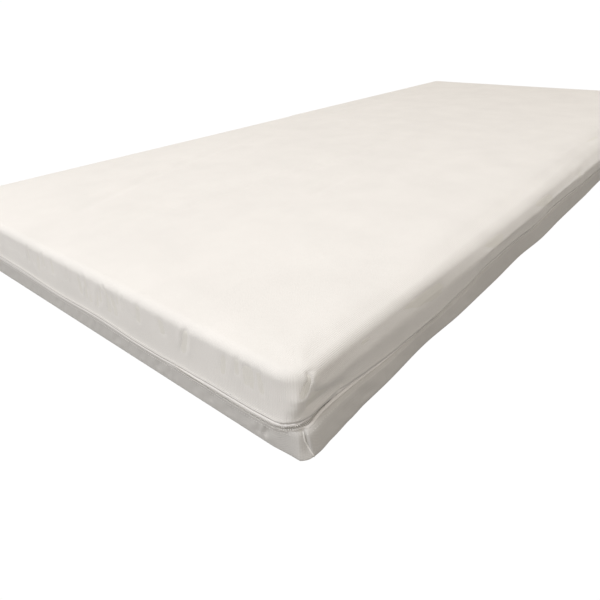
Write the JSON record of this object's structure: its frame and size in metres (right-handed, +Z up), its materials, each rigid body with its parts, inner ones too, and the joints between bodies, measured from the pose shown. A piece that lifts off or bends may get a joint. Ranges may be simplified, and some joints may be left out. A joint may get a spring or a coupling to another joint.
{
  "type": "pressure relief mattress",
  "caption": "Foam pressure relief mattress in a stretch-knit two-part cover, closed all round by a zip between two piped hems.",
  "frame": {"origin": "centre of the underside, on the surface that the mattress lies on", "axes": "+X from the foot end to the head end, +Y to the side that holds the zip sliders, +Z up"},
  "size_m": [2, 0.9, 0.1],
  "materials": {
    "cover_knit": "matte",
    "base_cloth": "matte",
    "welt_cloth": "satin",
    "seam_tape": "matte",
    "zip_tape": "matte",
    "zip_coil": "satin",
    "slider_metal": "satin",
    "liner_knit": "matte",
    "foam_firm": "matte",
    "foam_edge": "matte",
    "foam_head": "matte",
    "foam_torso": "matte",
    "foam_heel": "matte"
  },
  "bodies": {
    "mattress": {"cover_top": "cover_knit", "cover_base": "base_cloth", "top_corner_seams": "seam_tape", "base_corner_seams": "seam_tape", "flap_welt": "welt_cloth", "base_welt": "welt_cloth", "zip_tape_upper": "zip_tape", "zip_tape_lower": "zip_tape", "zip_coil_upper": "zip_coil", "zip_coil_lower": "zip_coil", "zip_end_stops": "zip_coil", "zip_end_tab": "base_cloth", "liner_sleeve": "liner_knit", "foam_base_slab": "foam_firm", "side_bolster_left": "foam_edge", "side_bolster_right": "foam_edge", "head_bolster": "foam_edge", "foot_bolster": "foam_edge", "head_zone_cells": "foam_head", "torso_zone_cells": "foam_torso", "heel_zone_cells": "foam_heel"},
    "head_slider": {"head_slider_body": "slider_metal"},
    "head_pull": {"head_slider_pull": "slider_metal"},
    "foot_slider": {"foot_slider_body": "slider_metal"},
    "foot_pull": {"foot_slider_pull": "slider_metal"}
  },
  "joints": [
    {"name": "head_slider_slide", "type": "slide", "parent": "mattress", "child": "head_slider", "axis": [1, 0, 0], "range_m": [0, 0.92]},
    {"name": "head_pull_hinge", "type": "hinge", "parent": "head_slider", "child": "head_pull", "pos_m": [0.011, 0.4473, 0.026], "axis": [0, 0, 1], "range_deg": [0, 120]},
    {"name": "foot_slider_slide", "type": "slide", "parent": "mattress", "child": "foot_slider", "axis": [-1, 0, 0], "range_m": [0, 0.92]},
    {"name": "foot_pull_hinge", "type": "hinge", "parent": "foot_slider", "child": "foot_pull", "pos_m": [-0.011, 0.4473, 0.026], "axis": [0, 0, -1], "range_deg": [0, 120]}
  ]
}
